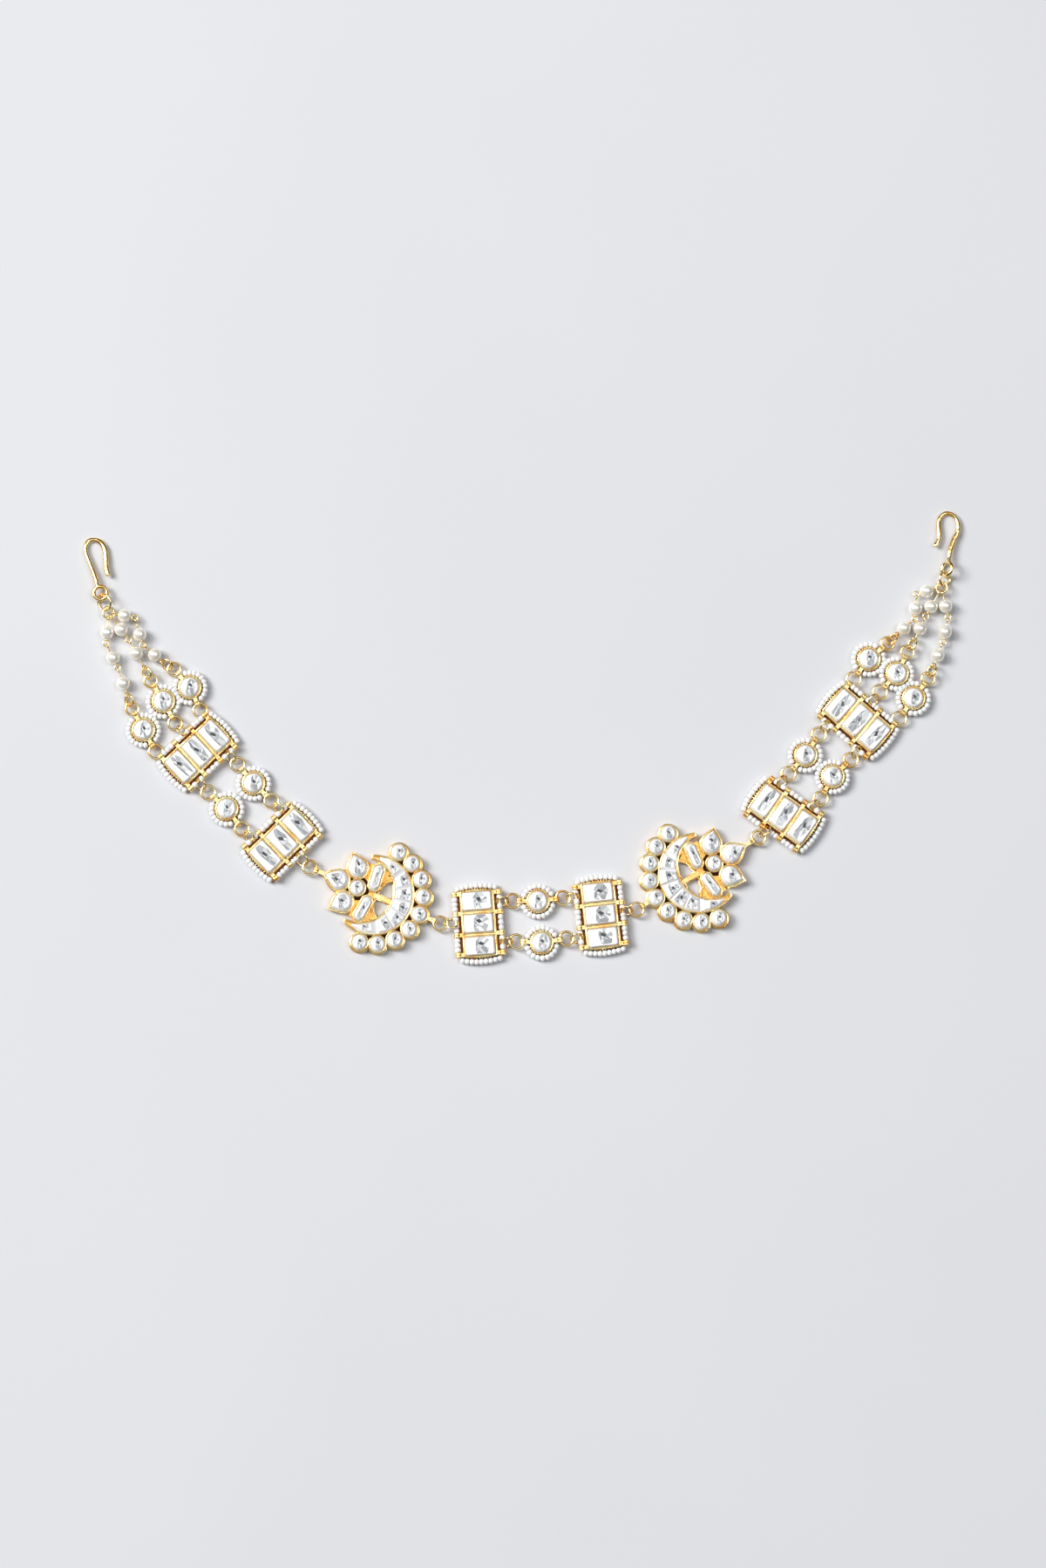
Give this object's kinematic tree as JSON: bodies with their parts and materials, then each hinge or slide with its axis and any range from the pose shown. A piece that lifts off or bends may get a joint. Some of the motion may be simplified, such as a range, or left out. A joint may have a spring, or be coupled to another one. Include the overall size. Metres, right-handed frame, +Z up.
{
  "type": "head ornament",
  "caption": "Bridal head ornament: an arc of stone-set plates, round charms and crescent motifs on jump rings, ending in pearl strands with a hook at each end.",
  "frame": {"origin": "bottom centre of the bounding box, on the table that the ornament lies on", "axes": "+X along the arc's width, from the left hook to the right hook as seen from above; +Y from the middle plates towards the two hooks; +Z up, out of the stones"},
  "size_m": [0.2532, 0.1297, 0.0043],
  "materials": {
    "gold": "polished",
    "stones": "gloss",
    "pearls": "gloss"
  },
  "bodies": {
    "root": {"hook_left": "gold", "hook_right": "gold", "end_links_left": "gold", "end_links_right": "gold", "pearls_left_outer": "pearls", "wires_left_outer": "gold", "pearls_left_middle": "pearls", "wires_left_middle": "gold", "pearls_left_inner": "pearls", "wires_left_inner": "gold", "pearls_right_inner": "pearls", "wires_right_inner": "gold", "pearls_right_middle": "pearls", "wires_right_middle": "gold", "pearls_right_outer": "pearls", "wires_right_outer": "gold", "plate_1": "gold", "plate_1_stones": "stones", "plate_2": "gold", "plate_2_stones": "stones", "plate_3": "gold", "plate_3_stones": "stones", "plate_4": "gold", "plate_4_stones": "stones", "plate_5": "gold", "plate_5_stones": "stones", "plate_6": "gold", "plate_6_stones": "stones", "charm_1": "gold", "charm_2": "gold", "charm_3": "gold", "charm_4": "gold", "charm_5": "gold", "charm_6": "gold", "charm_7": "gold", "charm_8": "gold", "charm_9": "gold", "charm_10": "gold", "charm_11": "gold", "charm_12": "gold", "charm_stones_left_end": "stones", "charm_stones_left": "stones", "charm_stones_centre": "stones", "charm_stones_right": "stones", "charm_stones_right_end": "stones", "crescent_left": "gold", "crescent_left_round_stones": "stones", "crescent_left_moon_stones": "stones", "crescent_left_flower_stones": "stones", "crescent_right": "gold", "crescent_right_round_stones": "stones", "crescent_right_moon_stones": "stones", "crescent_right_flower_stones": "stones", "rings_left_end": "gold", "rings_left": "gold", "rings_crescent_left": "gold", "rings_centre": "gold", "rings_crescent_right": "gold", "rings_right": "gold", "rings_right_end": "gold"}
  },
  "joints": []
}
